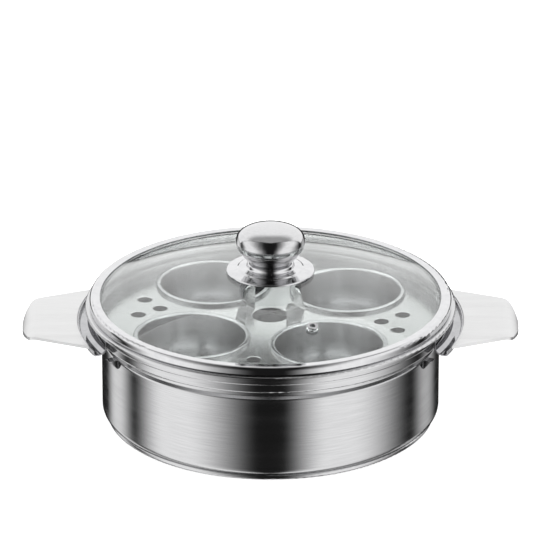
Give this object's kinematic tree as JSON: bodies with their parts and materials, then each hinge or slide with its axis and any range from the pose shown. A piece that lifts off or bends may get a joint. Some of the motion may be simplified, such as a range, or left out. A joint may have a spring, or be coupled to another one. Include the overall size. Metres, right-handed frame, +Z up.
{
  "type": "egg poacher pan",
  "caption": "Round steel pan with two flat side handles, a lift-out insert carrying egg cups, and a domed glass lid with a steel band and a round knob.",
  "frame": {"origin": "middle of the flat underside of the base", "axes": "+Z up, X along the two handles, front of the pan towards -Y"},
  "size_m": [0.33, 0.246, 0.1331],
  "materials": {
    "brushed_pan_steel": "brushed round the pan",
    "base_aluminium": "pressed, dull",
    "satin_handle_steel": "fine satin",
    "polished_steel": "mirror polish",
    "satin_plate_steel": "fine satin",
    "brushed_cup_steel": "brushed round the cup",
    "clear_glass": "clear, smooth",
    "plain_steel": "plain, as turned",
    "silicone": "matte, translucent white"
  },
  "bodies": {
    "pan": {"pan_body": "brushed_pan_steel", "base_core": "base_aluminium", "base_cap": "brushed_pan_steel", "handle_left": "satin_handle_steel", "handle_right": "satin_handle_steel", "handle_saddle_left": "polished_steel", "handle_saddle_right": "polished_steel", "handle_lug_front_left": "polished_steel", "handle_lug_front_right": "polished_steel", "handle_lug_back_left": "polished_steel", "handle_lug_back_right": "polished_steel"},
    "insert": {"insert_plate": "satin_plate_steel", "lift_tab_front_left": "satin_plate_steel", "lift_tab_front_right": "satin_plate_steel", "lift_tab_back_left": "satin_plate_steel", "lift_tab_back_right": "satin_plate_steel"},
    "cup_front_left": {"egg_cup_front_left": "brushed_cup_steel"},
    "cup_front_right": {"egg_cup_front_right": "brushed_cup_steel"},
    "cup_back_left": {"egg_cup_back_left": "brushed_cup_steel"},
    "cup_back_right": {"egg_cup_back_right": "brushed_cup_steel"},
    "lid": {"lid_glass": "clear_glass", "lid_band": "polished_steel", "vent_grommet": "polished_steel", "knob_base": "polished_steel", "knob_cup": "polished_steel", "knob_shell": "polished_steel", "knob_nut": "plain_steel", "knob_screw": "plain_steel", "knob_washer": "plain_steel", "knob_gasket": "silicone"}
  },
  "joints": [
    {"name": "insert_lift", "type": "slide", "parent": "pan", "child": "insert", "axis": [0, 0, 1], "range_m": [0, 0.057]},
    {"name": "lid_lift", "type": "slide", "parent": "insert", "child": "lid", "axis": [0, 0, 1], "range_m": [0, 0.052]},
    {"name": "cup_front_left_lift", "type": "slide", "parent": "insert", "child": "cup_front_left", "axis": [0, 0, -1], "range_m": [-0.01, 0]},
    {"name": "cup_front_right_lift", "type": "slide", "parent": "insert", "child": "cup_front_right", "axis": [0, 0, -1], "range_m": [-0.01, 0]},
    {"name": "cup_back_left_lift", "type": "slide", "parent": "insert", "child": "cup_back_left", "axis": [0, 0, -1], "range_m": [-0.01, 0]},
    {"name": "cup_back_right_lift", "type": "slide", "parent": "insert", "child": "cup_back_right", "axis": [0, 0, -1], "range_m": [-0.01, 0]}
  ]
}
